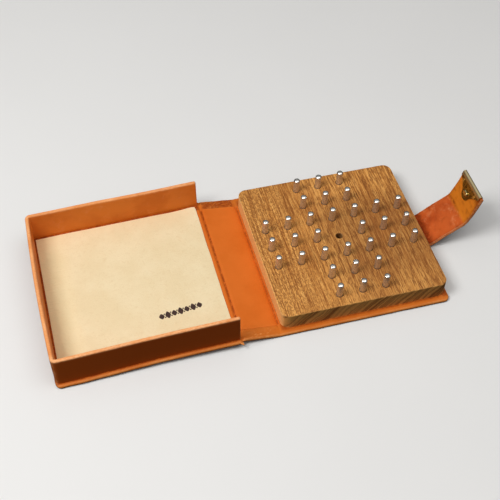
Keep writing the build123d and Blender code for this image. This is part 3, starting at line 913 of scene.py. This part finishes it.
core_rings, core_flat = wall_rings(WALL_SKIN + 0.02, PANEL_T + 0.04)
tray_core = new_piece("tray_wall_board", [in_lid(wall_sway(p)) for p in core_flat],
                      swept(core_rings), board_look, {"flat": core_flat}, 40)
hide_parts("far_wall_board", "near_wall_board", "left_wall_board")
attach(tray_core, "lid")

# ---------------- cream card
CARD_STEPS = [0.0, 0.06, 0.2, 1.0, 3.0, 6.0, 10.0]


def card_surface(u, v, k):
    d = min(u - card_low[0], card_high[0] - u, v - card_low[1], card_high[1] - v)
    x = u + 0.22 * wander(v / 15.0, 1.0) * ease(u, card_high[0] - 8, card_high[0])
    y = v + 0.30 * wander(u / 22.0, 6.0) * ease(abs(v), 44.0, card_high[1])
    lift = 0.85 * bump(math.hypot(u - card_high[0], v - card_high[1]), 0.0, 9.0)
    lift += 0.10 * (1 + wander(u / 16.0, v / 16.0, 8)) * ease(d, 0.0, 10.0)
    top = card_high[2] - 0.5 * drop(max(d, 0.0), 0.15)
    return x, y, (top if k else card_low[2] + 0.01) + lift


def card_corner(u, v, k):
    """card_surface with a softly worn corner."""
    x, y, z = card_surface(u, v, k)
    for cx, cy in ((card_high[0], card_high[1]), (card_high[0], card_low[1])):
        near = bump(math.hypot(u - cx, v - cy), 0.0, 1.4)
        x -= math.copysign(0.5, cx - card_low[0]) * near
        y -= math.copysign(0.5, cy) * near
    return x, y, z


card_us, card_vs = (stations(card_low[i], card_high[i], CARD_STEPS, 5.0) for i in (0, 1))
card = layered("cream_card", card_us, card_vs, card_corner, 2, None, in_lid, card_look)
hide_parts("lid_card")
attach(card, "lid")

# a plain printed ornament: a row of lozenges with pairs of dots between them
ORN_X = card_high[0] - 28.0
ORN_Y = card_low[1] + 26.0
ORN_STEP = 4.0  # from one lozenge to the next
TILT = 0.11
orn_points, orn_faces = [], []


def ink_shape(shape, cx, cy):
    """Adds one raised patch of ink, drawn about its own middle and turned with the row."""
    z0 = card_surface(cx, cy, 1)[2]
    start = len(orn_points)
    for lift in (0.005, 0.045):
        for px, py in shape:
            x = cx + px * math.cos(TILT) - py * math.sin(TILT)
            y = cy + px * math.sin(TILT) + py * math.cos(TILT)
            orn_points.append((x, y, z0 + lift))
    n = len(shape)
    orn_faces.append([start + n + i for i in range(n)])
    orn_faces.append([start + i for i in reversed(range(n))])
    for i in range(n):
        j = (i + 1) % n
        orn_faces.append([start + i, start + j, start + n + j, start + n + i])


def closed_curve(rx, ry, power, count):
    """An ellipse where power is 1, and a lozenge with hollow sides where it is more."""
    out = []
    for i in range(count):
        c, s = math.cos(2 * math.pi * i / count), math.sin(2 * math.pi * i / count)
        out.append((rx * math.copysign(abs(c) ** power, c), ry * math.copysign(abs(s) ** power, s)))
    return out


for n in range(-3, 4):
    cx, cy = ORN_X + n * ORN_STEP, ORN_Y + n * ORN_STEP * TILT
    ink_shape(closed_curve(1.75, 2.1 if n % 2 else 2.7, 1.5, 24), cx, cy)
    if n < 3:
        for dy in (-1.25, 1.25):
            ink_shape(closed_curve(0.5, 0.5, 1, 20), cx + 2.0 - dy * TILT, cy + 2.0 * TILT + dy)
ornament = new_piece("card_ornament", [in_lid(p) for p in orn_points], orn_faces, ink_look,
                     {"flat": orn_points}, 40)
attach(ornament, "lid")

# ---------------- pegs
PEG_R = (rest_box("peg_r1c3")[1][0] - rest_box("peg_r1c3")[0][0]) / 2
PEG_DOME = 1.0  # height of the domed top
PEG_FOOT = 0.4  # chamfer on the foot
PEG_WAYS = 36  # points round a peg


def peg_profile(low, top):
    """Radius and height from the foot up over the domed top."""
    out = [(0.0, low), (PEG_R - PEG_FOOT, low), (PEG_R, low + PEG_FOOT)]
    out += [(PEG_R, z) for z in spaced(low + 2.5, top - PEG_DOME - 0.4, 2.0)]
    for step in range(15):
        turn = math.pi / 2 * step / 14
        out.append((PEG_R * math.cos(turn), top - PEG_DOME + PEG_DOME * math.sin(turn)))
    return out


def make_peg(node, order):
    """One turned peg, seated a little differently from the others and very slightly leaning."""
    low, high = rest_box(node)
    cx, cy = (low[0] + high[0]) / 2, (low[1] + high[1]) / 2
    top = high[2] - 0.25 * abs(wander(order * 1.37, 0.5))
    lean_x, lean_y = 0.012 * wander(order * 0.91, 3.1), 0.012 * wander(order * 1.13, 7.7)
    points, flat, dome, faces = [], [], [], []
    for r, z in peg_profile(low[2], top):
        count = 1 if r < 1e-6 else PEG_WAYS
        for i in range(count):
            a = 2 * math.pi * i / PEG_WAYS
            x, y = r * math.cos(a), r * math.sin(a)
            rise = z - board_high[2]
            points.append((cx + x + lean_x * rise, cy + y + lean_y * rise, z))
            flat.append((x + order * 7.3, y, z + order * 3.1))
            dome.append(ease(z, top - 1.1, top - 0.8))
    for i in range(PEG_WAYS):
        faces.append([0, 1 + (i + 1) % PEG_WAYS, 1 + i])
    rows = (len(points) - 2) // PEG_WAYS
    tip = len(points) - 1
    for r in range(rows):
        for i in range(PEG_WAYS):
            a, b = 1 + r * PEG_WAYS + i, 1 + r * PEG_WAYS + (i + 1) % PEG_WAYS
            faces.append([a, b, b + PEG_WAYS, a + PEG_WAYS] if r < rows - 1 else [a, b, tip])
    piece = new_piece(node.replace("peg_", "pin_"), points, faces, steel_look,
                      {"flat": flat, "wear": dome}, 35)
    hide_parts(node)
    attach(piece, node)


for order, node in enumerate(sorted(n for n in nodes if n.startswith("peg_r"))):
    make_peg(node, order)

# ---------------- fastening strap
TAB_X, TAB_Z = hinge_line("tab_hinge")
FOLD_X, FOLD_Z = hinge_line("tab_fold")
TAB_L1 = math.hypot(FOLD_X - TAB_X, FOLD_Z - TAB_Z)
TAB_UP = math.radians(joints["tab_hinge"]["range_deg"][1])
FOLD_UP = TAB_UP + math.radians(joints["tab_fold"]["range_deg"][1])
TAB_HALF_W = rest_box("tab_outer_leather")[1][1]
TAB_HALF_T = (rest_box("tab_root")[1][2] - rest_box("tab_root")[0][2]) / 2
tip_high = rest_box("tip_outer_leather")[1]
STRAP_STEPS = [0.0, 0.05, 0.15, 0.3, 0.7, 1.6, 3.0]
# the strap's end is straight, so its length along the slope follows from its height
TAB_L2 = (tip_high[2] - FOLD_Z - TAB_HALF_T * math.cos(FOLD_UP) * 0.1) / math.sin(FOLD_UP)


def strap_angle(u):
    """Slope of the strap at distance u from its hinge."""
    up = TAB_UP * ease(u, -3.2, 3.2)
    return up + (FOLD_UP - TAB_UP) * ease(u, TAB_L1 - 3.4, TAB_L1 + 3.4)


strap_table = [(-8.0, TAB_X - 8.0, TAB_Z)]
while strap_table[-1][0] < TAB_L1 + TAB_L2 + 1:
    u, x, z = strap_table[-1]
    angle = strap_angle(u + 0.05)
    strap_table.append((u + 0.1, x + 0.1 * math.cos(angle), z + 0.1 * math.sin(angle)))
strap_us, strap_xs, strap_zs = zip(*strap_table)


def strap_place(p):
    """Puts a point (along, across, above the middle) of the flat strap where it stands."""
    u, y, h = p
    angle = strap_angle(u)
    x, z = (float(np.interp(u, strap_us, values)) for values in (strap_xs, strap_zs))
    return x - h * math.sin(angle), y, z + h * math.cos(angle)


def strap_layer(name, u0, u1, half_w, h0, h1, material):
    """One layer of the strap between two distances from its hinge."""
    vs = stations(-half_w, half_w, STRAP_STEPS, 1.5)

    def surface(u, v, k):
        d = half_w - abs(v)
        edge = drop(max(0.0, d), 0.3)
        wave = 0.12 * wander(u / 7.0, math.copysign(4.0, v)) * ease(abs(v), half_w - 4, half_w)
        aside = -0.8 * ease(u, TAB_L1 - 2.0, TAB_L1 + 12.0)
        crease = 0.10 * bump(u, TAB_L1 + 0.5, 5.0) * wander((u - v * 0.5) / 0.9, (u + v) / 6.0, 3)
        cup = 0.35 * (v / half_w) ** 2 * ease(u, 4.0, 12.0) * (1 - ease(u, TAB_L1 - 7.0, TAB_L1))
        before_clasp = ease(u, 3.0, 8.0) * (1 - ease(u, TAB_L1 + 7, TAB_L1 + 11))
        cup += 0.18 * wander(u / 6.0, v / 8.0, 5) * before_clasp
        y = v + aside + math.copysign(wave, v)
        # the glued faces keep sharper edges than the strap's outside and inside
        if not k:
            return u, y, h0 + edge * (1 if h0 < -0.5 else 0.2) + cup
        if h1 > 0.5:
            return u, y, h1 - edge + cup + crease
        return u, y, h1 - edge * 0.2 + cup

    def wear(u, v, p, k):
        side = 1 - ease(half_w - abs(v), 0.05, 0.7)
        lines = clamp(3.0 * wander((u + v * 0.55) / 0.55, (v - u) / 4.0, 9) - 0.9)
        fold = 0.9 * bump(u, TAB_L1 - 2.5, 3.2) * bump(v, -4.5, 5.0) * lines
        return clamp(0.8 * side * clamp(0.6 + 0.5 * wander(u / 5.0, v, 3)) + fold)

    # painted light: the lining turns paler past the fold
    def shade(u, v, p, k):
        return ease(u, TAB_L1 - 2.0, TAB_L1 + 1.5)

    def stain_and_shade(u, v, p, k):
        # painted shadow of the board at the strap's root and painted shade in the fold's crease; the
        # edges, corner and blots are real stains
        root = 0.85 * (1 - ease(u, 0.5, 8.0))
        fold = 0.6 * bump(u, TAB_L1 + 0.8, 1.3) * ease(v, -6.0, 4.0)
        near_edge = 0.8 * ease(-v, half_w - 2.5, half_w - 0.5) * ease(u, TAB_L1 + 5, TAB_L1 + 16)
        corner = 0.75 * ease(-v, half_w - 9.0, half_w - 4.0) * ease(u, TAB_L1 + 14, TAB_L1 + 19)
        rim = 0.35 * ease(abs(v), half_w - 2.5, half_w - 0.2)
        blot = 0.45 * clamp(1.8 * wander(u / 2.6, v / 3.6, 13) - 0.2)
        return clamp(max(root, near_edge, corner) + fold + rim + blot)

    marks = {"wear": wear, "shade": shade, "stain_and_shade": stain_and_shade}
    us = spaced(u0, u1, 0.45)
    return layered(name, us, vs, surface, 2, None, strap_place, material, marks, 35)


GLUE_LINE = 0.1  # height above the strap's middle
strap_parts = []
for name, u0, u1 in (("low", -3.0, TAB_L1 / 2), ("top", TAB_L1 / 2, TAB_L1 + TAB_L2)):
    outer = strap_layer("strap_outer_" + name, u0, u1, TAB_HALF_W, -TAB_HALF_T, GLUE_LINE, strap_look)
    inner = strap_layer("strap_inner_" + name, u0, u1, TAB_HALF_W - 0.35, GLUE_LINE, TAB_HALF_T,
                        strap_lining_look)
    strap_parts.append((outer, inner))
for piece, node in zip(strap_parts[0], ("tab_outer_leather", "tab_inner_leather")):
    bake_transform(piece)
    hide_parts(node)
for piece, node in zip(strap_parts[1], ("tip_outer_leather", "tip_inner_leather")):
    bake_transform(piece)
    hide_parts(node)

# ---------------- torn bit of leather by the lid hinge
def torn_surface(u, v, k):
    """A ragged tongue that narrows and droops away from the lid's near edge."""
    ragged = 0.25 * wander(u * 2.1, v * 2.3, 5)
    width = 1.15 - 0.42 * u
    x = LID_FLAT_X - 1.2 + v * width + 0.5 * u + ragged
    y = -LID_HALF_Y + 0.4 - u * 1.25 + ragged * 0.6
    z = 1.55 + 0.22 * u + (0.26 if k else 0.0) - 0.14 * v * u
    return x, y, z


def torn_wear(u, v, p, k):
    return clamp(0.45 + 0.3 * u)


torn = layered("torn_leather", spaced(0, 2.0, 0.25), spaced(-1, 1, 0.2), torn_surface, 2, None, in_lid,
               cover_look, {"wear": torn_wear}, 60)
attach(torn, "lid")


# ---------------- CAD nodes that stay
def finish_node(name, material):
    mesh = nodes[name].data
    if mesh.materials:
        nodes[name].material_slots[0].material = material
    else:
        mesh.materials.append(material)


for name in nodes:
    if name == "peg_board":
        finish_node(name, wood_look)
    elif name == "clasp_plate":
        finish_node(name, plate_look)
    elif name.startswith("clasp") or name.startswith("strike"):
        finish_node(name, brass_look)
    elif name.endswith("_board"):
        finish_node(name, board_look)
    else:
        finish_node(name, plain_leather)

# ---------------- floor, lamps, camera
floor_mesh = bpy.data.meshes.new("floor")
floor_mesh.from_pydata([(-3, -3, 0), (3, -3, 0), (3, 3, 0), (-3, 3, 0)], [], [(0, 1, 2, 3)])
floor = linked("floor", floor_mesh)
floor_look = Look("floor_paper")
soft = floor_look.noise(floor_look.own(), 0.01, 3, 0.5)
floor_look.set(Base_Color=floor_look.mix(soft, (0.80, 0.79, 0.77), (0.83, 0.82, 0.80)), Roughness=0.9)
floor_mesh.materials.append(floor_look.material)
floor.visible_diffuse = False
floor.visible_glossy = False


def lamp(name, toward, distance, size, power):
    """A rectangular soft box, size wide and deep, that shines on the middle of the case."""
    data = bpy.data.lights.new(name, "AREA")
    data.shape = "RECTANGLE"
    data.size, data.size_y = size
    data.energy = power
    made = linked(name, data)
    aim = Vector(toward).normalized()
    made.location = Vector((-0.06, 0.0, 0.0)) + aim * distance
    made.rotation_euler = aim.to_track_quat("Z", "Y").to_euler()


lamp("key", (-0.56, -0.13, 0.82), 1.1, (0.42, 0.42), 6.3)
lamp("overhead", (0.05, -0.20, 0.98), 1.2, (1.5, 0.7), 5.0)

world = bpy.data.worlds.new("studio")
bpy.context.scene.world = world
world.use_nodes = True
sky = world.node_tree
back = sky.nodes["Background"]
coords = sky.nodes.new("ShaderNodeTexCoord")
parts = sky.nodes.new("ShaderNodeSeparateXYZ")
fade = sky.nodes.new("ShaderNodeMapRange")
sky.links.new(coords.outputs["Generated"], parts.inputs[0])
sky.links.new(parts.outputs[2], fade.inputs["Value"])
for key, number in (("From Min", 0.25), ("From Max", 0.85), ("To Min", 0.04), ("To Max", 0.40)):
    fade.inputs[key].default_value = number
sky.links.new(fade.outputs["Result"], back.inputs["Strength"])
back.inputs["Color"].default_value = (1, 1, 1, 1)

camera = linked("camera", bpy.data.cameras.new("camera"))
camera.data.lens = 71.11
camera.data.sensor_width = 36.0
camera.data.clip_start = 0.01
turn = Matrix.Rotation(math.radians(-17.09), 4, "Z")
tip = Matrix.Rotation(math.radians(90 - 49.97), 4, "X")
roll = Matrix.Rotation(math.radians(2.21), 4, "Z")
camera.matrix_world = Matrix.Translation((-0.1765, -0.3809, 0.4911)) @ turn @ tip @ roll
bpy.context.scene.camera = camera
bpy.context.scene.view_settings.view_transform = "Standard"
